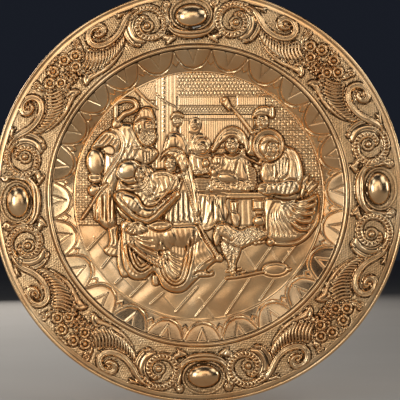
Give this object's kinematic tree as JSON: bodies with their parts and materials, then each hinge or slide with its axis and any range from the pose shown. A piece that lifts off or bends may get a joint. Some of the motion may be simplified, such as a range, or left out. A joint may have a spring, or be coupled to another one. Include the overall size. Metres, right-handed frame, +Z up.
{
  "type": "embossed brass wall charger",
  "caption": "Round embossed brass wall dish with a wired rim, ornamental border, scalloped well with a figure scene, and a swinging hanging ring behind the rim.",
  "frame": {"origin": "the point inside the top of the hanging ring where the nail or hook bears", "axes": "+Z up along the wall, +Y towards the wall (out of the back), +X to the right seen from the front"},
  "size_m": [0.5999, 0.0308, 0.6],
  "materials": {
    "embossed_brass": "polished high points with dark brown patina in the recesses",
    "iron_wire": "black iron wire inside the roll",
    "hanger_brass": "dull aged brass",
    "soft_solder": "grey soft solder"
  },
  "bodies": {
    "dish": {"dish": "embossed_brass", "rim_wire": "iron_wire", "hanger_tab": "hanger_brass", "solder_pad": "soft_solder"},
    "ring": {"hanger_ring": "hanger_brass"}
  },
  "joints": [
    {"name": "ring_swing", "type": "hinge", "parent": "dish", "child": "ring", "pos_m": [0, 0.00173, -0.02619], "axis": [-1, 0, 0], "range_deg": [0, 187.5]}
  ]
}
